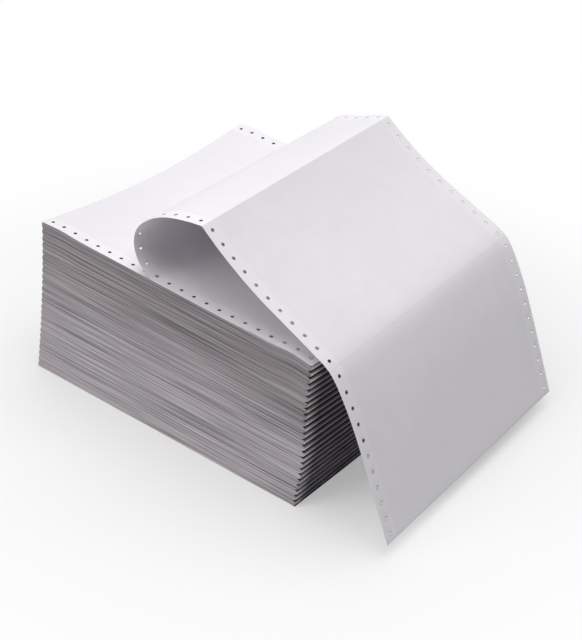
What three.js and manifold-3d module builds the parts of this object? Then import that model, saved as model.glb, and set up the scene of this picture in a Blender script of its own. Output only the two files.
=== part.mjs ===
// Fanfold continuous form paper: a folded pile with its top sheet drawn up, looped over and hung down.
// Units are millimetres. X runs along a sheet from fold to fold, Y across it, Z up.
// The origin is the middle of the pile's base, on the surface that it stands on.
import * as THREE from "three";
import { mergeVertices } from "three/addons/utils/BufferGeometryUtils.js";
import Module from "manifold-3d";

const wasm = await Module();
wasm.setup();

const degrees = Math.PI / 180;

// The paper: 11 in from fold to fold, 9.5 in across, with a cross perforation half way
const sheetLength = 279.4;
const sheetWidth = 241.3;
const formsPerSheet = 2;
const formLength = sheetLength / formsPerSheet;
// The free sheet is drawn thicker than real paper, so that it is a sound solid
const sheetThickness = 0.3;

// The feed holes along both long edges
const holePitch = 12.7;
const holeDiameter = 4;
const holeInset = 6.35;
const holeSides = 8;
// A bore through the pile follows its lean in this many straight lengths
const boreBends = 3;
// A cutter reaches this far past each side of what it cuts
const cutterReach = 1.5;

// The pile: its height at mid length, how much lower it is at the fold face on the right,
// and how far its top has slid to the right over its base
const pileHeight = 142.6;
const pileFall = 14;
const pileLean = 17;
const leanPower = 1.4;

// The folds: they show on both ends as rounded ridges, each a bundle of many folds
const foldBundles = 24;
const foldDepth = 3.4;
const foldFacets = 4;
// Below 1 a ridge is blunt, above 1 it is sharp
const foldSharpness = 0.6;

// The top of the pile: it dips in mid width, and swells a little just inside the folds
const dipDepth = 9;
const dipAtRight = 0.5;
const leftSwell = 1;
const rightSwell = 3;
const swellReach = 22;
const topSteps = 20;
const widthSteps = 6;

// The drawn sheet leaves the pile here, measured from the middle of the pile's top
const liftOff = -12;
// It starts this far below the pile's top, so that it grows out of the sheet that lies flat
const rootDepth = 0.4;
const rootLength = 3;

// The drawn sheet as a chain of arcs, each with its length and how far it turns
const riseArc = { length: 15, turn: 39 };
const backArc = { length: 46.3, turn: 98 };
const overArc = { length: 33.5, turn: 28.5 };
const loopLastTurn = 11.5;
const ridgeTurn = 44.6;
const slopeArc = { length: 81, turn: -15.2 };
const creaseBend = { length: 12, turn: 32.5 };
const flapArc = { length: 45, turn: 8.5 };
const flapLastTurn = 1.7;
const degreesPerStep = 7;
const longestStep = 24;

// The drawn sheet sits askew: how far its far edge is shifted against its near edge
const ridgeSkew = { x: -11.9, z: -2.2 };
const creaseSkew = { x: -7.9, z: 2.4 };
const endSkew = { x: -9.4, z: 1.4 };

// The pile's top has slid by the lean, so that is where the middle of the top lies
const topCentre = pileLean;
const holesPerSheet = Math.floor(sheetLength / holePitch);
const firstHole = (sheetLength - (holesPerSheet - 1) * holePitch) / 2;

// A swell that is zero at the fold, full at swellReach from it and zero again at twice that
function swell(fromFold) {
  const way = THREE.MathUtils.clamp(fromFold / swellReach, 0, 2);
  return Math.sin(way * Math.PI / 2) ** 2;
}

// Height of the pile's top at a place along the sheet, at its near and far edges
function topHeight(along) {
  const fall = pileFall * along / sheetLength;
  const left = leftSwell * swell(sheetLength / 2 + along);
  const right = rightSwell * swell(sheetLength / 2 - along);
  return pileHeight - fall + left + right;
}

// How far the pile's top dips at a place along and across the sheet
function topDip(along, y) {
  const share = THREE.MathUtils.lerp(1, dipAtRight, along / sheetLength + 0.5);
  return dipDepth * share * Math.cos(Math.PI * y / sheetWidth);
}

// How far the pile has slid to the right at a height, as a share of its full height
function leanAt(share) {
  return pileLean * (1 - (1 - share) ** leanPower);
}

// A point of the pile's outline, from its place along the sheet and its share of the height
function pilePoint(along, share) {
  return new THREE.Vector2(along + leanAt(share), share * topHeight(along));
}

// One end of the pile from bottom to top: rounded ridges with a narrow gap between them
function foldedEnd(side) {
  const points = [];
  for (let bundle = 0; bundle < foldBundles; bundle++) {
    for (let facet = 0; facet <= foldFacets; facet++) {
      if (facet === 0 && bundle > 0) {
        continue;
      }
      const share = (bundle + facet / foldFacets) / foldBundles;
      const reach = Math.sin(Math.PI * facet / foldFacets) ** foldSharpness;
      const atTop = bundle === foldBundles - 1 && facet === foldFacets;
      const atBase = bundle === 0 && facet === 0;
      const inset = atTop || atBase ? foldDepth / 2 : foldDepth * (1 - reach);
      points.push(pilePoint(side * (sheetLength / 2 - inset), share));
    }
  }
  return points;
}

// The top of the pile from right to left, between its two folded ends
function topOutline() {
  const points = [];
  const reach = sheetLength / 2 - foldDepth / 2;
  for (let step = 1; step < topSteps; step++) {
    points.push(pilePoint(THREE.MathUtils.lerp(reach, -reach, step / topSteps), 1));
  }
  return points;
}

function makePile() {
  const outline = [...foldedEnd(1), ...topOutline(), ...foldedEnd(-1).reverse()];
  const geometry = new THREE.ExtrudeGeometry(new THREE.Shape(outline), {
    depth: sheetWidth,
    steps: widthSteps,
    bevelEnabled: false,
  });
  // The extrusion runs along Z, so it is laid over to run along Y
  geometry.rotateX(Math.PI / 2);
  geometry.translate(0, sheetWidth / 2, 0);
  const position = geometry.getAttribute("position");
  for (let i = 0; i < position.count; i++) {
    const z = position.getZ(i);
    const share = z / pileHeight;
    const along = position.getX(i) - leanAt(Math.min(share, 1));
    position.setZ(i, z - share * topDip(along, position.getY(i)));
  }
  return geometry;
}

// The arcs of the drawn sheet in order, from the lift-off to its free end
function sheetArcs() {
  const flat = sheetLength / 2 - liftOff;
  const loopSoFar = riseArc.length + backArc.length + overArc.length;
  const half = creaseBend.length / 2;
  return [
    riseArc,
    backArc,
    overArc,
    { length: sheetLength - flat - loopSoFar, turn: loopLastTurn, name: "ridge" },
    { length: 0, turn: ridgeTurn },
    slopeArc,
    { length: formLength - slopeArc.length - half, turn: 0 },
    { length: half, turn: creaseBend.turn / 2, name: "crease" },
    { length: half, turn: creaseBend.turn / 2 },
    flapArc,
    { length: formLength - flapArc.length - half, turn: flapLastTurn, name: "end" },
  ];
}

// Stations along the drawn sheet at its near edge: length from the lift-off, place and heading
function walkSheet() {
  let heading = 180;
  let x = topCentre + liftOff;
  let z = topHeight(liftOff) - rootDepth;
  let length = 0;
  const stations = [
    { length: -rootLength, x: x + rootLength, z, heading },
    { length, x, z, heading },
  ];
  const marks = {};
  for (const arc of sheetArcs()) {
    const bySize = Math.ceil(arc.length / longestStep);
    const steps = Math.max(1, bySize, Math.ceil(Math.abs(arc.turn) / degreesPerStep));
    if (arc.length === 0) {
      // A sharp fold keeps one station, which faces half way between its two sides
      heading -= arc.turn;
      stations[stations.length - 1].heading = heading + arc.turn / 2;
      continue;
    }
    for (let step = 0; step < steps; step++) {
      const stride = arc.length / steps;
      heading -= arc.turn / steps / 2;
      x += stride * Math.cos(heading * degrees);
      z += stride * Math.sin(heading * degrees);
      heading -= arc.turn / steps / 2;
      length += stride;
      stations.push({ length, x, z, heading });
    }
    if (arc.name) {
      marks[arc.name] = length;
    }
  }
  return { stations, marks };
}

const { stations, marks } = walkSheet();

// The two stations that a length lies between, and how far it is from the first to the second
function findSpan(length) {
  const last = stations.length - 2;
  const index = THREE.MathUtils.clamp(stations.findIndex((s) => s.length >= length) - 1, 0, last);
  const from = stations[index];
  const to = stations[index + 1];
  return { from, to, way: (length - from.length) / (to.length - from.length) };
}

// Shift of the far edge against the near one, growing to the ridge and then changing evenly
function skewAt(length, axis) {
  if (length <= marks.ridge) {
    return ridgeSkew[axis] * Math.max(0, length) / marks.ridge;
  }
  if (length <= marks.crease) {
    const way = (length - marks.ridge) / (marks.crease - marks.ridge);
    return THREE.MathUtils.lerp(ridgeSkew[axis], creaseSkew[axis], way);
  }
  const way = (length - marks.crease) / (marks.end - marks.crease);
  return THREE.MathUtils.lerp(creaseSkew[axis], endSkew[axis], way);
}

// A point of the drawn sheet, from a place on its near edge and a place across it
function bendPoint(length, y, x, z) {
  const across = y / sheetWidth + 0.5;
  // The dip of the pile's top carries on into the sheet and is gone where the loop turns back
  const turnBack = riseArc.length + backArc.length;
  const dipShare = THREE.MathUtils.clamp(1 - length / turnBack, 0, 1);
  return new THREE.Vector3(
    x + skewAt(length, "x") * across,
    y,
    z + skewAt(length, "z") * across - topDip(liftOff, y) * dipShare,
  );
}

// A flat strip with a row of points at each station, bent along the stations
function makeDrawnSheet() {
  const rows = stations.length - 1;
  const geometry = new THREE.BoxGeometry(rows, sheetWidth, sheetThickness, rows, widthSteps, 1);
  const position = geometry.getAttribute("position");
  for (let i = 0; i < position.count; i++) {
    const station = stations[Math.round(position.getX(i) + rows / 2)];
    const offset = position.getZ(i);
    const x = station.x - offset * Math.sin(station.heading * degrees);
    const z = station.z + offset * Math.cos(station.heading * degrees);
    const point = bendPoint(station.length, position.getY(i), x, z);
    position.setXYZ(i, point.x, point.y, point.z);
  }
  return geometry;
}

// Turns a closed three.js geometry into a solid that can be joined and cut
function toSolid(geometry) {
  const bare = geometry.clone();
  bare.deleteAttribute("normal");
  bare.deleteAttribute("uv");
  const merged = mergeVertices(bare, 1e-4);
  return new wasm.Manifold(new wasm.Mesh({
    numProp: 3,
    vertProperties: new Float32Array(merged.getAttribute("position").array),
    triVerts: new Uint32Array(merged.getIndex().array),
  }));
}

function toGeometry(solid) {
  const mesh = solid.getMesh();
  const geometry = new THREE.BufferGeometry();
  geometry.setAttribute("position", new THREE.BufferAttribute(new Float32Array(mesh.vertProperties), 3));
  geometry.setIndex(new THREE.BufferAttribute(new Uint32Array(mesh.triVerts), 1));
  geometry.computeVertexNormals();
  return geometry;
}

// Cuts a list of cutters from a solid
function cutAll(solid, cutters) {
  return cutters.reduce((rest, cutter) => rest.subtract(toSolid(cutter)), solid);
}

// The two rows of feed holes, at their places across the sheet
const holeRows = [-1, 1].map((side) => side * (sheetWidth / 2 - holeInset));

// Holes through the whole pile: the feed holes of all its sheets lie over each other
function pileHoles() {
  const radius = holeDiameter / 2;
  const cutters = [];
  for (const y of holeRows) {
    for (let hole = 0; hole < holesPerSheet; hole++) {
      const along = -sheetLength / 2 + firstHole + hole * holePitch;
      const height = topHeight(along) + 2 * cutterReach;
      const cutter = new THREE.CylinderGeometry(radius, radius, height, holeSides, boreBends);
      cutter.rotateX(Math.PI / 2);
      cutter.translate(along, y, height / 2 - cutterReach);
      // The bore leans with the pile
      const position = cutter.getAttribute("position");
      for (let i = 0; i < position.count; i++) {
        const share = Math.min(1, position.getZ(i) / topHeight(along));
        position.setX(i, position.getX(i) + leanAt(share));
      }
      cutters.push(cutter);
    }
  }
  return cutters;
}

// Holes through the drawn sheet, spaced along the paper itself
function sheetHoles() {
  const flat = sheetLength / 2 - liftOff;
  const radius = holeDiameter / 2;
  const height = sheetThickness + 2 * cutterReach;
  const acrossSheet = new THREE.Vector3(0, 1, 0);
  const cutters = [];
  for (const y of holeRows) {
    for (let panel = 0; panel * formLength < marks.end + flat; panel++) {
      for (let hole = 0; hole < holesPerSheet / formsPerSheet; hole++) {
        const length = panel * formLength + firstHole + hole * holePitch - flat;
        if (length < holeDiameter || length > marks.end) {
          continue;
        }
        const { from, to, way } = findSpan(length);
        const near = bendPoint(from.length, y, from.x, from.z);
        const far = bendPoint(to.length, y, to.x, to.z);
        const along = far.clone().sub(near).normalize();
        const normal = acrossSheet.clone().cross(along).normalize();
        const cutter = new THREE.CylinderGeometry(radius, radius, height, holeSides);
        cutter.applyQuaternion(new THREE.Quaternion().setFromUnitVectors(acrossSheet, normal));
        cutter.translate(...near.lerp(far, way).toArray());
        cutters.push(cutter);
      }
    }
  }
  return cutters;
}

const pile = cutAll(toSolid(makePile()), pileHoles());
const drawnSheet = cutAll(toSolid(makeDrawnSheet()), sheetHoles());

const paper = new THREE.Mesh(
  toGeometry(pile.add(drawnSheet)),
  new THREE.MeshStandardMaterial({ color: 0xeeebf0, roughness: 0.85, metalness: 0 }),
);
paper.name = "fanfold_paper";

const group = new THREE.Group();
group.add(paper);

export default group;
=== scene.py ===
"""Fanfold continuous form paper: the folded pile and the sheet drawn up from it."""
import math
import random

import bmesh
import bpy
from bpy.props import FloatProperty, FloatVectorProperty, IntProperty, PointerProperty
from mathutils import Matrix, Vector, noise


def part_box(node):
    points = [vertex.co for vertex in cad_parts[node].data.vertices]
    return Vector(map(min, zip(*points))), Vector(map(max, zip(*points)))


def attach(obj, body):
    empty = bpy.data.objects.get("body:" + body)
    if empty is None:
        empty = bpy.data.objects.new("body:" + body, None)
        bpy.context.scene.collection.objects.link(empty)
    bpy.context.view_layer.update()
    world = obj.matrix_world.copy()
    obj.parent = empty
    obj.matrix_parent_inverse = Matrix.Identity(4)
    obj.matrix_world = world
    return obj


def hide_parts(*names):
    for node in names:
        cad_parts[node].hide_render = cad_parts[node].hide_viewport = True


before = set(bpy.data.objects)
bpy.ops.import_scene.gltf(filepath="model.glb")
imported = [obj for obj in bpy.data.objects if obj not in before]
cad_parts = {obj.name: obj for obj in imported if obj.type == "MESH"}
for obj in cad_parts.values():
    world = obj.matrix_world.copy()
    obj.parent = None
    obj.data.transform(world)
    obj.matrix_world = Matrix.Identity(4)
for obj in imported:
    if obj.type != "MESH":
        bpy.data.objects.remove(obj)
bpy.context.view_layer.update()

bl_info = {
    "name": "Fanfold form paper",
    "version": (1, 0, 0),
    "blender": (4, 5, 0),
    "location": "View3D > Sidebar > Fanfold",
    "description": "Builds a folded pile of form paper with its top sheet drawn up and hung down",
    "category": "Add Mesh",
}

NODE = "fanfold_paper"
BODY = "root"
MILLIMETRE = 0.001
LOW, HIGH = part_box(NODE)


def length_property(name, millimetres, description):
    """A size that is set in millimetres and kept in metres."""
    return FloatProperty(
        name=name,
        description=description,
        default=millimetres * MILLIMETRE,
        subtype="DISTANCE",
        unit="LENGTH",
        precision=5,
    )


def angle_property(name, degrees, description):
    """An angle that is set in degrees and kept in radians."""
    return FloatProperty(
        name=name,
        description=description,
        default=math.radians(degrees),
        subtype="ANGLE",
        unit="ROTATION",
    )


def share_property(name, value, description):
    """A share or a power, which has no unit."""
    return FloatProperty(
        name=name, description=description, default=value, subtype="FACTOR", min=0, max=10
    )


def power_property(name, watts, description):
    """The power of a lamp in watts."""
    return FloatProperty(
        name=name, description=description, default=watts, subtype="POWER", unit="POWER", min=0
    )


def colour_property(name, colour, description):
    """A colour in linear light."""
    return FloatVectorProperty(
        name=name, description=description, default=colour, size=3, subtype="COLOR", min=0, max=1
    )


def shift_property(name, metres, description):
    """A place or a shift in metres, with a number for each axis that it has."""
    return FloatVectorProperty(
        name=name,
        description=description,
        default=metres,
        size=len(metres),
        subtype="TRANSLATION",
        unit="LENGTH",
    )


class PaperSizes(bpy.types.PropertyGroup):
    """Sizes of the web of paper itself."""

    sheet_length: length_property("Sheet length", 279.4, "From one fold to the next")
    sheet_width: length_property("Sheet width", (HIGH.y - LOW.y) / MILLIMETRE, "With both margins")
    form_length: length_property("Form length", 139.7, "From a fold to the cross perforation")
    thickness: length_property("Thickness", 0.2, "Thickness of the drawn sheet")
    hole_pitch: length_property("Hole pitch", 12.7, "Between holes, and twice as far as to an edge")
    hole_diameter: length_property("Hole diameter", 2.4, "Diameter of a feed hole")
    # The width below is that of the dark ring round each feed hole: painted shade of the hole, not
    # soil.
    rim_shade_width: length_property("Rim width", 0.6, "Width of the soiled rim round a feed hole")


class PileSizes(bpy.types.PropertyGroup):
    """Sizes of the folded pile."""

    height: length_property("Height", 142.6, "Height at mid length along the long sides")
    fall: length_property("Fall", 14.0, "How much lower the top is at the right hand folds")
    lean: length_property("Lean", 17.0, "How far the top has slid over the base")
    lean_power: share_property("Lean power", 1.4, "Above 1 the pile leans mostly low down")
    dip: length_property("Dip", 9.0, "How far the top sinks in mid width at the left hand folds")
    dip_right: share_property("Dip at right", 0.5, "Share of the dip at the right")
    left_swell: length_property("Left swell", 1.0, "Swelling just inside the left hand folds")
    right_swell: length_property("Right swell", 2.0, "Swelling just inside the right hand folds")
    swell_reach: length_property("Swell reach", 22.0, "From the folds to the crown of the swelling")
    bundles: IntProperty(name="Bundles", description="Bundles of folds that show on an end", default=24)
    layers: IntProperty(name="Layers", description="Layers of sheets that show in a bundle", default=6)
    gap_left: length_property("Gap at left", 1.1, "Depth of the gaps between bundles on the left")
    gap_right: length_property("Gap at right", 3.6, "Depth of that gap on the right")
    draw_in: length_property("Draw in", 2.3, "How far the right hand folds stand in high up")
    belly: length_property("Belly", 2.5, "How far the right hand folds stand out low down")
    belly_top: length_property("Belly top", 105.0, "Height from which those folds come out")
    belly_low: length_property("Belly low", 40.0, "Height from which they stand out in full")
    lift: length_property("Lift", 0.3, "How far the top sheets have lifted near the right folds")
    lift_start: length_property("Lift start", 38.0, "Where that lift starts, from mid length")
    lift_share: share_property("Lift share", 0.06, "Share of the height that lifts")
    left_slide: length_property("Left slide", 4.0, "How far the lowest sheets have slid to the left")
    swell_fade: share_property("Swell fade", 4.0, "How fast the swelling fades below the top")
    edge_wander: length_property("Edge wander", 0.14, "How unevenly layers stand out on the long sides")
    fold_wander: length_property("Fold wander", 0.5, "How unevenly layers stand out on the folded ends")
    well_depth: length_property("Well depth", 4.0, "Depth that is modelled of the pile's feed holes")


class DrawnSizes(bpy.types.PropertyGroup):
    """The course of the drawn sheet: arcs with a length and a turn, from where it leaves the pile."""

    lift_off: length_property("Lift off", -12.0, "Where it leaves the pile, from the middle of its top")
    clearance: length_property("Clearance", 0.25, "Between the sheet that lies flat and the pile")
    gap: length_property("Gap", 0.9, "More room under it where the top sheets have lifted")
    rise_length: length_property("Rise length", 15.0, "Length of the first arc, off the pile")
    rise_turn: angle_property("Rise turn", 39.0, "Turn of the first arc")
    back_length: length_property("Back length", 46.3, "Length of the arc that turns back")
    back_turn: angle_property("Back turn", 98.0, "Turn of the arc that turns back")
    over_length: length_property("Over length", 33.5, "Length of the arc over the top")
    over_turn: angle_property("Over turn", 28.5, "Turn of the arc over the top")
    crown_turn: angle_property("Crown turn", 11.5, "Turn of the stretch before the ridge")
    crown_sag: length_property("Crown sag", 4.5, "How much flatter the loop's top is at the far edge")
    ridge_turn: angle_property("Ridge turn", 44.6, "Sharp turn at the ridge")
    slope_length: length_property("Slope length", 81.0, "Length of the arc below the ridge")
    slope_turn: angle_property("Slope turn", -15.2, "Turn of that arc, which is hollow")
    crease_length: length_property("Crease length", 26.0, "Length that bends at the cross perforation")
    crease_turn: angle_property("Crease turn", 26.5, "Soft turn about the cross perforation")
    crease_kink: angle_property("Crease kink", 6.0, "Sharp turn on the cross perforation")
    flap_length: length_property("Flap length", 45.0, "Length of the arc below the cross perforation")
    flap_turn: angle_property("Flap turn", 8.5, "Turn of that arc")
    end_turn: angle_property("End turn", 1.7, "Turn of the last stretch")
    ridge_skew: shift_property("Ridge skew", (-0.0119, -0.0022), "Shift in X and Z of its far end")
    crease_skew: shift_property("Crease skew", (-0.0079, 0.0024), "The same at the cross perforation")
    end_skew: shift_property("End skew", (-0.0094, 0.0014), "The same at the free end")


class PaperFinish(bpy.types.PropertyGroup):
    """Colours of the paper."""

    sheet: colour_property("Sheet", (0.83, 0.81, 0.85), "A sheet seen from above")
    edge_light: colour_property("Edge light", (0.64, 0.595, 0.625), "Lower cut edges in the light")
    # The colour below is painted shade in the gaps between the lower cut edges.
    edge_gap_shade: colour_property("Edge dark", (0.145, 0.137, 0.145), "Gaps between the lower cut edges")
    # The two colours below are darker copies of the lower edge colours: painted shade on the upper part
    # of the long sides.
    top_light: colour_property("Top light", (0.375, 0.344, 0.36), "Upper cut edges in the light")
    # The colour below is painted shade in the gaps between the upper cut edges.
    top_gap_shade: colour_property("Top dark", (0.078, 0.07, 0.075), "Gaps between the upper cut edges")
    # The fold colours below are far darker than the paper: painted shade on the folded ends.
    fold_light: colour_property("Fold light", (0.41, 0.385, 0.415), "Folds where they stand proud")
    # The colour below is painted shade in the gaps between bundles at the right end, darkest under the
    # hanging flap.
    fold_gap_shade: colour_property("Fold dark", (0.031, 0.029, 0.034), "Gaps between bundles of folds")
    # The colour below is painted shade in the shallower gaps at the left end.
    left_gap_shade: colour_property("Left dark", (0.27, 0.25, 0.27), "The left end's shallow gaps")
    # The colour below is painted light on the right end's proud folds near the long sides, where light
    # reaches past the hanging flap.
    fold_end_painted_light: colour_property("Fold end", (0.93, 0.87, 0.90), "Folds at their ends, in the light")
    # The colour below is painted shade round each feed hole, standing in for the shadowed hole; it is
    # not a crushed rim.
    rim: colour_property("Rim", (0.16, 0.15, 0.165), "The crushed rim of a feed hole")
    # The colour below is lighter than the sheet: partly the margins' own tone, partly painted light on
    # the lit margin strips.
    margin: colour_property("Margin", (0.88, 0.85, 0.885), "The tear-off margins beside the feed holes")
    # The colour below is painted shade in the pile's deep feed holes.
    hole: colour_property("Hole", (0.10, 0.095, 0.10), "Wall of a feed hole in the pile")
    # The share below sets how strongly that painted shade darkens the ring round each hole.
    rim_shade_share: share_property("Rim share", 0.9, "How strongly the rims are soiled")
    # The share below sets that lightening of the margins, which is partly painted light.
    margin_tone_and_light_share: share_property("Margin share", 0.6, "How far the margins take their own colour")


class StageSettings(bpy.types.PropertyGroup):
    """The camera, the lamps and the floor."""

    camera_place: shift_property("Camera place", (0.6657, -0.7830, 0.7197), "Where the camera stands")
    azimuth: angle_property("Azimuth", 38.73, "Turn of the camera about the vertical")
    elevation: angle_property("Elevation", 33.11, "How far the camera looks down")
    roll: angle_property("Roll", 1.29, "Roll of the camera about its own line of sight")
    focal_pixels: FloatProperty(
        name="Focal pixels",
        description="Focal length in pixels of the photo",
        default=1449.8,
        subtype="PIXEL",
    )
    floor_colour: colour_property("Floor colour", (0.9, 0.9, 0.9), "The floor under the object")
    key_place: shift_property("Key place", (0.12, 0.05, 1.55), "Where the lamp above hangs")
    key_aim: shift_property("Key aim", (0.03, 0, 0.1), "The point that the lamp above faces")
    key_size: length_property("Key size", 1700, "Side of the square lamp above")
    key_power: power_property("Key power", 24.5, "Power of the lamp above")
    fill_place: shift_property("Fill place", (-0.75, -1.6, 0.9), "Where the lamp in front stands")
    fill_aim: shift_property("Fill aim", (0, 0, 0.1), "The point that the lamp in front faces")
    fill_size: length_property("Fill size", 1200, "Side of the square lamp in front")
    fill_power: power_property("Fill power", 14.5, "Power of the lamp in front")
    sky_strength: share_property("Sky strength", 0.08, "Strength of the light all round")


# Shapes shared by the pile and the drawn sheet


def settings():
    """The add-on's property groups on the scene."""
    return bpy.context.scene.fanfold


def swell(pile, from_fold):
    """0 at the folds, 1 at the swelling's reach and 0 again at twice that."""
    way = min(max(from_fold / pile.swell_reach, 0), 2)
    return math.sin(way * math.pi / 2) ** 2


def layer_height(along, share):
    """Height of a layer along the long edges; along is the distance from the middle of a sheet."""
    pile, length = settings().pile, settings().paper.sheet_length
    left = pile.left_swell * swell(pile, length / 2 + along)
    right = pile.right_swell * swell(pile, length / 2 - along)
    level = share * (pile.height - pile.fall * along / length)
    return level + (left + right) * share ** pile.swell_fade


def top_height(along):
    """Height of the pile's top along its long edges."""
    return layer_height(along, 1)


def top_dip(along, across):
    """How far the pile's top sinks at a place on it."""
    pile, paper = settings().pile, settings().paper
    way = along / paper.sheet_length + 0.5
    share = 1 + (pile.dip_right - 1) * way
    return pile.dip * share * math.cos(math.pi * across / paper.sheet_width)


def lifted(along):
    """0 to 1: where the top sheets have lifted off the rest, near the right hand folds."""
    pile, length = settings().pile, settings().paper.sheet_length
    way = (along - pile.lift_start) / (length / 2 - pile.lift_start)
    return math.sin(math.pi * min(max(way, 0), 1)) ** 2


def lean_at(share):
    """How far the pile has slid to the right at a share of its height."""
    pile = settings().pile
    return pile.lean * (1 - (1 - share) ** pile.lean_power)


class SheetCourse:
    """The drawn sheet's near edge as a chain of arcs, in the plane of X and Z."""

    straight = 1e-6
    touching = 1e-9

    def __init__(self):
        drawn, paper = settings().drawn, settings().paper
        self.flat = paper.sheet_length / 2 - drawn.lift_off
        half = drawn.crease_length / 2
        loop = drawn.rise_length + drawn.back_length + drawn.over_length
        self.ridge = paper.sheet_length - self.flat
        self.crease = self.ridge + paper.form_length
        self.end = self.crease + paper.form_length
        arcs = [
            (0, drawn.rise_length, drawn.rise_turn),
            (0, drawn.back_length, drawn.back_turn),
            (0, drawn.over_length, drawn.over_turn),
            (0, self.ridge - loop, drawn.crown_turn),
            (drawn.ridge_turn, drawn.slope_length, drawn.slope_turn),
            (0, paper.form_length - drawn.slope_length - half, 0),
            (0, half, drawn.crease_turn / 2),
            (drawn.crease_kink, half, drawn.crease_turn / 2),
            (0, drawn.flap_length, drawn.flap_turn),
            (0, paper.form_length - drawn.flap_length - half, drawn.end_turn),
        ]
        x = settings().pile.lean + drawn.lift_off
        z = top_height(drawn.lift_off) + drawn.clearance
        heading, start = math.pi, 0
        self.arcs = []
        for kink, length, turn in arcs:
            heading -= kink
            self.arcs.append((start, x, z, heading, -turn / length))
            x, z, heading = self.walk(self.arcs[-1], length)
            start += length

    def walk(self, arc, distance):
        """Place and heading at a distance along one arc."""
        _, x, z, heading, bend = arc
        if abs(bend) < self.straight:
            return x + distance * math.cos(heading), z + distance * math.sin(heading), heading
        after = heading + bend * distance
        x += (math.sin(after) - math.sin(heading)) / bend
        z -= (math.cos(after) - math.cos(heading)) / bend
        return x, z, after

    def near_edge(self, length):
        """X and Z of the near edge at a length from the lift-off."""
        arc = [a for a in self.arcs if a[0] <= length + self.touching][-1]
        x, z, _ = self.walk(arc, length - arc[0])
        return x, z

    def skew(self, length):
        """Shift of the far edge against the near edge, in X and Z."""
        drawn = settings().drawn
        ridge, crease, end = (Vector(s) for s in (drawn.ridge_skew, drawn.crease_skew, drawn.end_skew))
        if length <= self.ridge:
            return ridge * max(0, length) / self.ridge
        if length <= self.crease:
            return ridge.lerp(crease, (length - self.ridge) / (self.crease - self.ridge))
        return crease.lerp(end, (length - self.crease) / (self.end - self.crease))

    def point(self, length, across):
        """A point of the sheet, at a length from the lift-off and a distance from its middle line."""
        drawn, paper = settings().drawn, settings().paper
        if length < 0:
            along = drawn.lift_off - length
            lift = (settings().pile.lift + drawn.gap) * lifted(along)
            to_fold = max(0, along - drawn.lift_off) / self.flat
            along -= settings().pile.draw_in * to_fold ** 4
            z = top_height(along) - top_dip(along, across) + drawn.clearance + lift
            return Vector((settings().pile.lean + along, across, z))
        x, z = self.near_edge(length)
        share = across / paper.sheet_width + 0.5
        skew = self.skew(length)
        turned_back = drawn.rise_length + drawn.back_length
        dip = top_dip(drawn.lift_off, across) * max(0, 1 - length / turned_back)
        over = min(max((length - turned_back) / (self.ridge - turned_back), 0), 1)
        dip += drawn.crown_sag * share * math.sin(math.pi * over) ** 2
        return Vector((x + skew.x * share, across, z + skew.y * share - dip))


# Mesh helpers

SHARP_FOLD = math.radians(28)
NEARLY_PARALLEL = 0.9


def new_piece(name, bm, materials):
    """Makes an object of a bmesh, with sharp edges where the surface turns sharply."""
    bmesh.ops.recalc_face_normals(bm, faces=bm.faces)
    for face in bm.faces:
        face.smooth = True
    for edge in bm.edges:
        edge.smooth = edge.calc_face_angle(0) < SHARP_FOLD
    mesh = bpy.data.meshes.new(name)
    bm.to_mesh(mesh)
    bm.free()
    for material in materials:
        mesh.materials.append(material)
    piece = bpy.data.objects.new(name, mesh)
    bpy.context.scene.collection.objects.link(piece)
    return piece


def seat(piece):
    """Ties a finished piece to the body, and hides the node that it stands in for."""
    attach(piece, BODY)
    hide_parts(NODE)


def cell_blocks(faces, pitch, length, width):
    """Groups the faces of the two margins by the feed hole cell that they lie in."""
    blocks = {}
    for face in faces:
        centre = face.calc_center_median()
        if abs(centre.y) > width / 2 - pitch:
            key = (math.floor((centre.x + length / 2) / pitch), centre.y > 0)
            blocks.setdefault(key, []).append(face)
    return blocks


def punch(bm, block, radius, cuts):
    """Turns one cell's faces into a ring round a flat circle, and returns the circle's face."""
    face = bmesh.ops.dissolve_faces(bm, faces=block, use_verts=False)["region"][0]
    centre = face.calc_center_bounds()
    bmesh.ops.inset_individual(bm, faces=[face], thickness=radius / 2)
    if cuts:
        bmesh.ops.subdivide_edges(bm, edges=list(face.edges), cuts=cuts)
    for vert in face.verts:
        vert.co = centre + (vert.co - centre).normalized() * radius
    return face


def subdivide_along(bm, axis, cuts):
    """Cuts every edge that runs along one axis into equal lengths."""
    runs = [(e, (e.verts[0].co - e.verts[1].co).normalized()) for e in bm.edges]
    edges = [edge for edge, run in runs if abs(run[axis]) > NEARLY_PARALLEL]
    bmesh.ops.subdivide_edges(bm, edges=edges, cuts=cuts, use_grid_fill=True)


# Shader helpers


class Wire:
    """The value of a socket: Python arithmetic on it adds Math nodes."""

    def __init__(self, board, socket):
        self.board = board
        self.socket = socket

    def maths(self, operation, *values):
        node = self.board.add("ShaderNodeMath", {"operation": operation}, dict(enumerate(values)))
        return Wire(self.board, node.outputs[0])

    def __add__(self, other):
        return self.maths("ADD", self, other)

    def __radd__(self, other):
        return self.maths("ADD", other, self)

    def __sub__(self, other):
        return self.maths("SUBTRACT", self, other)

    def __rsub__(self, other):
        return self.maths("SUBTRACT", other, self)

    def __mul__(self, other):
        return self.maths("MULTIPLY", self, other)

    def __rmul__(self, other):
        return self.maths("MULTIPLY", other, self)

    def __truediv__(self, other):
        return self.maths("DIVIDE", self, other)

    def __pow__(self, other):
        return self.maths("POWER", self, other)

    def size(self):
        """The value without its sign."""
        return self.maths("ABSOLUTE", self)

    def to_and_fro(self, length):
        """Rises from 0 to a length and falls back to 0, over and over."""
        return self.maths("PINGPONG", self, length)

    def smooth_step(self, low, high):
        """0 below low, 1 above high and smooth between them."""
        node = self.board.add(
            "ShaderNodeMapRange",
            {"interpolation_type": "SMOOTHSTEP"},
            {"Value": self, "From Min": low, "From Max": high},
        )
        return Wire(self.board, node.outputs["Result"])


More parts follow.
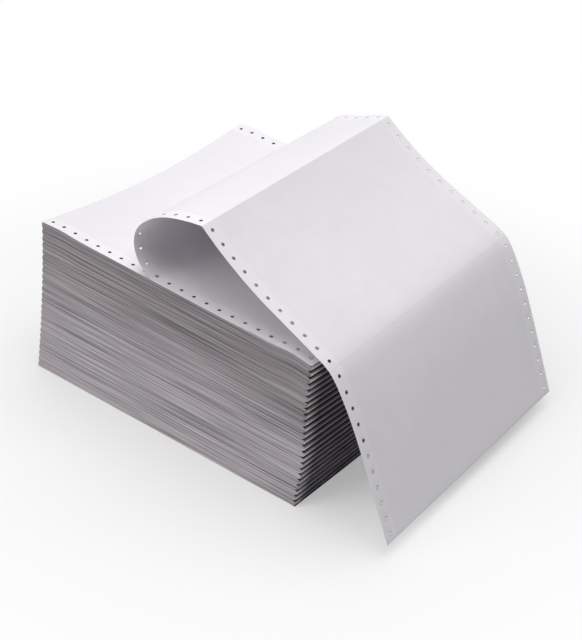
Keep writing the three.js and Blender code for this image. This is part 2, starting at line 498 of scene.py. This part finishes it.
class Board:
    """The node tree of a material or of the world, which nodes are added to."""

    def __init__(self, tree):
        self.tree = tree

    def add(self, kind, choices=None, values=None):
        """Adds a node, sets its choices and then fills its sockets with values or wires."""
        node = self.tree.nodes.new(kind)
        for name, value in (choices or {}).items():
            setattr(node, name, value)
        for key, value in (values or {}).items():
            if isinstance(value, Wire):
                self.tree.links.new(value.socket, node.inputs[key])
            else:
                node.inputs[key].default_value = value
        return node

    def wire(self, node, output=0):
        return Wire(self, node.outputs[output])

    def place(self, attribute=None):
        """The object's own coordinates, or those kept in an attribute before it was bent."""
        if attribute is None:
            return self.wire(self.add("ShaderNodeTexCoord"), "Object")
        return self.wire(self.add("ShaderNodeAttribute", {"attribute_name": attribute}), "Vector")

    def parts(self, vector):
        """The three parts of a vector."""
        node = self.add("ShaderNodeSeparateXYZ", values={0: vector})
        return [self.wire(node, i) for i in range(3)]

    def stretched(self, vector, scale):
        """A vector with each part scaled."""
        node = self.add("ShaderNodeVectorMath", {"operation": "MULTIPLY"}, {0: vector, 1: scale})
        return self.wire(node)

    def speckle(self, vector, scale, detail=2.0, roughness=0.5):
        """Noise from 0 to 1."""
        node = self.add(
            "ShaderNodeTexNoise",
            values={"Vector": vector, "Scale": scale, "Detail": detail, "Roughness": roughness},
        )
        return self.wire(node, "Fac")

    def blend(self, share, first, second):
        """One colour changing to another; the Mix node's colours are its inputs 6 and 7."""
        first, second = (c if isinstance(c, Wire) else (*c, 1) for c in (first, second))
        node = self.add("ShaderNodeMix", {"data_type": "RGBA"}, {0: share, 6: first, 7: second})
        return self.wire(node, 2)

    def bump(self, height, distance, strength):
        """A normal that follows a height."""
        values = {"Height": height, "Distance": distance, "Strength": strength}
        return self.wire(self.add("ShaderNodeBump", values=values))


class MaterialBoard(Board):
    """The node tree of a new material."""

    def __init__(self, name):
        self.material = bpy.data.materials.new(name)
        self.material.use_nodes = True
        super().__init__(self.material.node_tree)
        self.shader = self.tree.nodes["Principled BSDF"]

    def finish(self, colour, roughness, normal, specular=0.3):
        """Feeds the shader, and returns the material."""
        for key, wire in (("Base Color", colour), ("Roughness", roughness), ("Normal", normal)):
            self.tree.links.new(wire.socket, self.shader.inputs[key])
        self.shader.inputs["Specular IOR Level"].default_value = specular
        return self.material


# Finishes of the paper; lengths are in metres

FLAT_PLACE = "flat_place"
CUT_AND_TIE = 0.0024
LINE_EDGE = (0.00012, 0.0004)
MARGIN_BLUR = 0.0006
TEAR_GROOVE = (0.0002, 0.001)
# Reach of the painted light on the right end's folds, in from the long sides.
PAINTED_LIGHT_REACH = 0.017


def tinted(colour, factor):
    """A colour made lighter or darker."""
    return tuple(min(1, channel * factor) for channel in colour)


def perforation(along, across, form_length):
    """The line across the sheet at every form length, and the cuts in it, as 1 against 0."""
    line = 1 - along.to_and_fro(form_length / 2).smooth_step(*LINE_EDGE)
    dash = across.to_and_fro(CUT_AND_TIE / 2).smooth_step(CUT_AND_TIE * 0.12, CUT_AND_TIE * 0.2)
    return line, line * dash


def sheet_material(name):
    """Uncoated paper: soft mottling, fine fibres and the cross perforations, with painted shade round
    the feed holes, and margins made lighter partly as painted light.
    """
    finish, paper = settings().finish, settings().paper
    board = MaterialBoard(name)
    place = board.place(FLAT_PLACE)
    along, across, _ = board.parts(place)
    mottle = board.speckle(place, 55, 3.0, 0.55)
    cloud = board.speckle(place, 9)
    fibre = board.speckle(board.stretched(place, (1.0, 2.4, 1.0)), 1400, 4.0, 0.65)
    line, cut = perforation(along, across, paper.form_length)
    dull, bright = tinted(finish.sheet, 0.985), tinted(finish.sheet, 1.015)
    colour = board.blend(cloud.smooth_step(0.3, 0.7), dull, bright)
    colour = board.blend(mottle.smooth_step(0.35, 0.7) * 0.5, colour, tinted(finish.sheet, 0.965))
    from_middle = across.size()
    tear_line = paper.sheet_width / 2 - paper.hole_pitch
    margin = from_middle.smooth_step(tear_line - MARGIN_BLUR, tear_line + MARGIN_BLUR)
    # The margins turn lighter: partly their own tone, partly painted light.
    colour = board.blend(margin * finish.margin_tone_and_light_share, colour, finish.margin)
    groove_start, groove_end = (tear_line + edge for edge in TEAR_GROOVE)
    tear = margin * (1 - from_middle.smooth_step(groove_start, groove_end))
    half = paper.hole_pitch / 2
    past_hole = (along - half).to_and_fro(half)
    beside_hole = from_middle - (paper.sheet_width / 2 - half)
    from_hole = (past_hole * past_hole + beside_hole * beside_hole) ** 0.5
    radius = paper.hole_diameter / 2
    # Painted shade: a dark ring round each feed hole stands in for the shadowed hole; the same ring
    # also sinks the bump.
    rim = 1 - from_hole.smooth_step(radius, radius + paper.rim_shade_width)
    colour = board.blend(rim * finish.rim_shade_share, colour, finish.rim)
    colour = board.blend(line * 0.05 + cut * 0.14, colour, tinted(finish.sheet, 0.45))
    height = fibre * 0.6 + mottle * 0.4 - cut * 2.0 - line * 0.8 - tear * 1.5 - rim * 1.2
    normal = board.bump(height, 0.00004, 0.7)
    return board.finish(colour, 0.78 + mottle * 0.14, normal)


def edge_material():
    """Cut edges of the sheets on the pile's long sides: hundreds of fine uneven lines, whose dark parts
    are painted shade in the gaps between the sheets, with painted shade that darkens the upper part.
    """
    finish, height = settings().finish, settings().pile.height
    board = MaterialBoard("cut_edges")
    place = board.place(FLAT_PLACE)
    fine = board.speckle(board.stretched(place, (14, 14, 2300)), 1.0, 2.0, 0.6)
    middle = board.speckle(board.stretched(place, (9, 9, 1000)), 1.0, 1.0, 0.5)
    coarse = board.speckle(board.stretched(place, (4, 4, 380)), 1.0, 1.0, 0.5)
    broad = board.speckle(board.stretched(place, (5, 5, 40)), 1.0, 2.0)
    lines = (fine * 0.28 + middle * 0.6 + coarse * 0.12).smooth_step(0.31, 0.67)
    share = lines * 0.9 + broad.smooth_step(0.3, 0.7) * 0.1
    up = board.parts(place)[2]
    # Painted shade: the long sides turn to the darker upper colours towards the top.
    painted_shade_high_up = up.smooth_step(height * 0.2, height * 1.05)
    # The dark lines are painted shade in the gaps between the sheets.
    colour = board.blend(share, finish.edge_gap_shade, finish.edge_light)
    colour = board.blend(painted_shade_high_up, colour, board.blend(share, finish.top_gap_shade, finish.top_light))
    normal = board.bump(lines, 0.00025, 0.8)
    return board.finish(colour, 0.85 + broad * 0.08, normal, 0.2)


def fold_material():
    """Folds on the pile's ends, in colours far darker than the paper as painted shade: darkest in the
    gaps between bundles, also painted shade, lighter where they stand proud, and lighter again near the
    long sides of the right end, which is painted light.
    """
    finish, pile, paper = settings().finish, settings().pile, settings().paper
    board = MaterialBoard("folds")
    place = board.place(FLAT_PLACE)
    along, across, up = board.parts(place)
    bundle = pile.height / pile.bundles
    proud = up.to_and_fro(bundle / 2).smooth_step(bundle * 0.08, bundle * 0.46)
    fine = board.speckle(board.stretched(place, (20, 20, 1300)), 1.0, 2.0, 0.6)
    patch = board.speckle(board.stretched(place, (30, 30, 160)), 1.0, 3.0)
    share = proud * (0.35 + fine.smooth_step(0.3, 0.7) * 0.65) * (0.7 + patch * 0.5)
    side = paper.sheet_width / 2
    right = along.smooth_step(paper.sheet_length * 0.4, paper.sheet_length * 0.6)
    # Painted light: the right end's folds turn lighter near the long sides.
    painted_light_near_end = right * across.size().smooth_step(side - PAINTED_LIGHT_REACH, side)
    proud_colour_with_painted_light = board.blend(painted_light_near_end, finish.fold_light, finish.fold_end_painted_light)
    # Painted shade: the gaps are darker at the right end than at the left.
    gap_shade_colour = board.blend(right, finish.left_gap_shade, finish.fold_gap_shade)
    colour = board.blend(share + painted_light_near_end * proud * 0.35, gap_shade_colour, proud_colour_with_painted_light)
    normal = board.bump(fine, 0.0002, 0.8)
    return board.finish(colour, 0.86 + patch * 0.06, normal, 0.2)


def hole_material():
    """The depth of the feed holes, coloured dark as painted shade of the hundreds of sheets that shade
    each other down the hole.
    """
    hole_shade = settings().finish.hole
    board = MaterialBoard("hole_depth_shade")
    place = board.place(FLAT_PLACE)
    lines = board.speckle(board.stretched(place, (40, 40, 1500)), 1.0)
    colour = board.blend(lines, tinted(hole_shade, 0.7), tinted(hole_shade, 1.6))
    return board.finish(colour, 0.85 + lines * 0.1, board.bump(lines, 0.0001, 0.6), 0.1)


# Pieces


class FANFOLD_OT_pile(bpy.types.Operator):
    """Builds the folded pile with its layers, folds and feed holes"""

    bl_idname = "fanfold.make_pile"
    bl_label = "Make the folded pile"

    top, long_side, end, hole = range(4)
    cells_split = 2
    random_seed = 11
    ripple = 0.0004
    at_face = 1e-5

    def execute(self, context):
        paper, pile = settings().paper, settings().pile
        random.seed(self.random_seed)
        bm = bmesh.new()
        bmesh.ops.create_cube(bm, size=1)
        size = Vector((paper.sheet_length, paper.sheet_width, pile.height))
        seated = Matrix.Diagonal((*size, 1)) @ Matrix.Translation((0, 0, 0.5))
        bmesh.ops.transform(bm, matrix=seated, verts=bm.verts)
        levels = pile.bundles * pile.layers * 2
        cells = [round(size.x / paper.hole_pitch), round(size.y / paper.hole_pitch)]
        subdivide_along(bm, 2, levels - 1)
        subdivide_along(bm, 0, cells[0] * self.cells_split - 1)
        subdivide_along(bm, 1, cells[1] * self.cells_split - 1)
        self.assign_materials(bm)
        self.sink_wells(bm)
        self.shape(bm, levels)
        materials = [sheet_material("pile_top"), edge_material(), fold_material(), hole_material()]
        seat(new_piece("folded_pile", bm, materials))
        return {"FINISHED"}

    def assign_materials(self, bm):
        """Gives each face the finish of its side."""
        for face in bm.faces:
            normal = face.normal
            if abs(normal.y) > 0.5:
                face.material_index = self.long_side
            elif abs(normal.x) > 0.5:
                face.material_index = self.end
            else:
                face.material_index = self.top

    def sink_wells(self, bm):
        """Cuts the feed holes into the top."""
        paper, pile = settings().paper, settings().pile
        tops = [f for f in bm.faces if f.normal.z > 0.5]
        blocks = cell_blocks(tops, paper.hole_pitch, paper.sheet_length, paper.sheet_width)
        for key in sorted(blocks):
            face = punch(bm, blocks[key], paper.hole_diameter / 2, 1)
            made = bmesh.ops.extrude_discrete_faces(bm, faces=[face])["faces"][0]
            bmesh.ops.translate(bm, verts=made.verts, vec=(0, 0, -pile.well_depth))
            for near in [made, *(f for edge in made.edges for f in edge.link_faces)]:
                near.material_index = self.hole

    def shape(self, bm, levels):
        """Moves every point from the square block to its place in the leaning, sagging pile."""
        paper, pile = settings().paper, settings().pile
        keep = bm.verts.layers.float_vector.new(FLAT_PLACE)
        ends = paper.sheet_length / 2 - self.at_face
        sides = paper.sheet_width / 2 - self.at_face
        stand_out = [random.uniform(-1, 0.4 if level % 2 else -0.55) for level in range(levels + 1)]
        fold_out = [random.uniform(-1, 0.3) for level in range(levels + 1)]
        for vert in bm.verts:
            along, across, up = vert.co
            share = up / pile.height
            level = min(levels, max(0, round(share * levels)))
            vert[keep] = (along + paper.sheet_length / 2, across, up)
            if abs(across) > sides:
                wave = noise.noise(Vector((along * 18, level * 0.31, across * 9)))
                drift = pile.edge_wander * (stand_out[level] + 0.5 * wave)
                across += math.copysign(drift, across)
            if abs(along) > ends:
                way = share * pile.bundles % 1
                open_share = 1 - math.sin(math.pi * way) ** 0.6 if 0 < level < levels else 0
                wave = noise.noise(Vector((across * 22, level * 0.43, along)))
                wander = pile.fold_wander * (fold_out[level] * 0.5 + 0.35 * wave)
                if along > 0:
                    way = min(max((pile.belly_top - up) / (pile.belly_top - pile.belly_low), 0), 1)
                    along += (pile.belly + pile.draw_in) * way * way * (3 - 2 * way) - pile.draw_in
                    along -= max(0, pile.gap_right * open_share - wander)
                else:
                    along -= pile.left_slide * (1 - share)
                    along += max(0, pile.gap_left * open_share - wander)
            wave = noise.noise(Vector((along * 14, share * 9, across * 2)))
            ripple = self.ripple * math.sin(math.pi * share) * wave
            lift = pile.lift * lifted(along) * max(0, 1 - (1 - share) / pile.lift_share)
            height = layer_height(along, share) - share * top_dip(along, across) + ripple + lift
            vert.co = (along + lean_at(min(share, 1)), across, max(0, height))


class FANFOLD_OT_sheet(bpy.types.Operator):
    """Builds the top sheet, from its fold over the loop and the ridge to the free end"""

    bl_idname = "fanfold.make_sheet"
    bl_label = "Make the drawn sheet"

    cells_split = 4

    def execute(self, context):
        paper = settings().paper
        course = SheetCourse()
        total = course.flat + course.end
        bm = bmesh.new()
        bmesh.ops.create_grid(
            bm,
            x_segments=round(total / paper.hole_pitch) * self.cells_split,
            y_segments=round(paper.sheet_width / paper.hole_pitch) * self.cells_split,
            size=0.5,
            matrix=Matrix.Diagonal((total, paper.sheet_width, 1, 1)),
        )
        blocks = cell_blocks(bm.faces, paper.hole_pitch, total, paper.sheet_width)
        circles = [punch(bm, blocks[key], paper.hole_diameter / 2, 0) for key in sorted(blocks)]
        bmesh.ops.delete(bm, geom=circles, context="FACES")
        keep = bm.verts.layers.float_vector.new(FLAT_PLACE)
        for vert in bm.verts:
            length = vert.co.x + total / 2
            vert[keep] = (length, vert.co.y, 0)
            vert.co = course.point(length - course.flat, vert.co.y)
        bmesh.ops.solidify(bm, geom=list(bm.faces), thickness=paper.thickness)
        seat(new_piece("drawn_sheet", bm, [sheet_material("drawn_paper")]))
        return {"FINISHED"}


# The stage


class FANFOLD_OT_stage(bpy.types.Operator):
    """Sets up the floor, the lamps, the background and the camera"""

    bl_idname = "fanfold.make_stage"
    bl_label = "Make the stage"

    photo_height = 640
    sensor = 36.0
    floor_reach = 6
    pale_near = 0.35
    pale_from, pale_to = 0.15, 0.45

    def execute(self, context):
        stage = settings().stage
        self.floor()
        self.lamp("key", stage.key_place, stage.key_aim, stage.key_size, stage.key_power)
        self.lamp("fill", stage.fill_place, stage.fill_aim, stage.fill_size, stage.fill_power)
        self.sky(context)
        self.camera(context)
        context.scene.view_settings.view_transform = "Standard"
        return {"FINISHED"}

    def floor(self):
        """A pale floor that keeps the shadow and is seen as white further out."""
        bm = bmesh.new()
        bmesh.ops.create_grid(bm, x_segments=8, y_segments=8, size=self.floor_reach)
        board = MaterialBoard("floor")
        tree = board.tree
        colour = settings().stage.floor_colour
        board.shader.inputs["Base Color"].default_value = (*colour, 1)
        board.shader.inputs["Roughness"].default_value = 0.9
        board.shader.inputs["Specular IOR Level"].default_value = 0.0
        path = board.add("ShaderNodeLightPath")
        length = board.add("ShaderNodeVectorMath", {"operation": "LENGTH"}, {0: board.place()})
        away = board.wire(length, "Value").smooth_step(self.pale_from, self.pale_to)
        share = board.wire(path, "Is Camera Ray") * (self.pale_near + away * (1 - self.pale_near))
        white = board.add("ShaderNodeEmission", values={"Color": (1, 1, 1, 1), "Strength": 1.0})
        mix = board.add("ShaderNodeMixShader", values={0: share})
        tree.links.new(board.shader.outputs[0], mix.inputs[1])
        tree.links.new(white.outputs[0], mix.inputs[2])
        tree.links.new(mix.outputs[0], tree.nodes["Material Output"].inputs["Surface"])
        new_piece("floor", bm, [board.material])

    def lamp(self, name, place, aim, size, power):
        """A square soft lamp that faces a point."""
        data = bpy.data.lights.new(name, "AREA")
        data.shape = "SQUARE"
        data.size = size
        data.energy = power
        lamp = bpy.data.objects.new(name, data)
        lamp.location = place
        lamp.rotation_euler = (Vector(aim) - Vector(place)).to_track_quat("-Z", "Y").to_euler()
        bpy.context.scene.collection.objects.link(lamp)

    def sky(self, context):
        """A world that is seen as white and lights the object dimly."""
        world = bpy.data.worlds.new("studio")
        world.use_nodes = True
        context.scene.world = world
        board = Board(world.node_tree)
        path = board.add("ShaderNodeLightPath")
        seen = board.wire(path, "Is Camera Ray")
        for ray in ("Is Glossy Ray", "Is Transmission Ray"):
            seen = seen.maths("MAXIMUM", seen, board.wire(path, ray))
        dim = settings().stage.sky_strength
        strength = dim + seen * (1 - dim)
        background = board.tree.nodes["Background"]
        background.inputs["Color"].default_value = (1, 1, 1, 1)
        board.tree.links.new(strength.socket, background.inputs["Strength"])

    def camera(self, context):
        """The camera of the photo."""
        stage = settings().stage
        data = bpy.data.cameras.new("camera")
        data.sensor_width = self.sensor
        data.lens = stage.focal_pixels * self.sensor / self.photo_height
        camera = bpy.data.objects.new("camera", data)
        turn = Matrix.Rotation(stage.azimuth, 4, "Z")
        tilt = Matrix.Rotation(math.pi / 2 - stage.elevation, 4, "X")
        roll = Matrix.Rotation(stage.roll, 4, "Z")
        camera.matrix_world = Matrix.Translation(stage.camera_place) @ turn @ tilt @ roll
        context.scene.collection.objects.link(camera)
        context.scene.camera = camera


class FanfoldSettings(bpy.types.PropertyGroup):
    """Everything that a user may change."""

    paper: PointerProperty(type=PaperSizes)
    pile: PointerProperty(type=PileSizes)
    drawn: PointerProperty(type=DrawnSizes)
    finish: PointerProperty(type=PaperFinish)
    stage: PointerProperty(type=StageSettings)


OPERATORS = (FANFOLD_OT_pile, FANFOLD_OT_sheet, FANFOLD_OT_stage)
GROUPS = (PaperSizes, PileSizes, DrawnSizes, PaperFinish, StageSettings, FanfoldSettings)


class FANFOLD_PT_panel(bpy.types.Panel):
    """Lists the steps and the sizes"""

    bl_label = "Fanfold form paper"
    bl_idname = "FANFOLD_PT_panel"
    bl_space_type = "VIEW_3D"
    bl_region_type = "UI"
    bl_category = "Fanfold"

    def draw(self, context):
        for operator in OPERATORS:
            self.layout.operator(operator.bl_idname)
        for name in FanfoldSettings.__annotations__:
            group = getattr(context.scene.fanfold, name)
            box = self.layout.box()
            box.label(text=name.capitalize())
            for size in group.__annotations__:
                box.prop(group, size)


def register():
    for group in (*GROUPS, *OPERATORS, FANFOLD_PT_panel):
        bpy.utils.register_class(group)
    bpy.types.Scene.fanfold = PointerProperty(type=FanfoldSettings)


def unregister():
    del bpy.types.Scene.fanfold
    for group in (FANFOLD_PT_panel, *reversed(OPERATORS), *reversed(GROUPS)):
        bpy.utils.unregister_class(group)


def main():
    register()
    bpy.ops.fanfold.make_pile()
    bpy.ops.fanfold.make_sheet()
    bpy.ops.fanfold.make_stage()


if __name__ == "__main__":
    main()
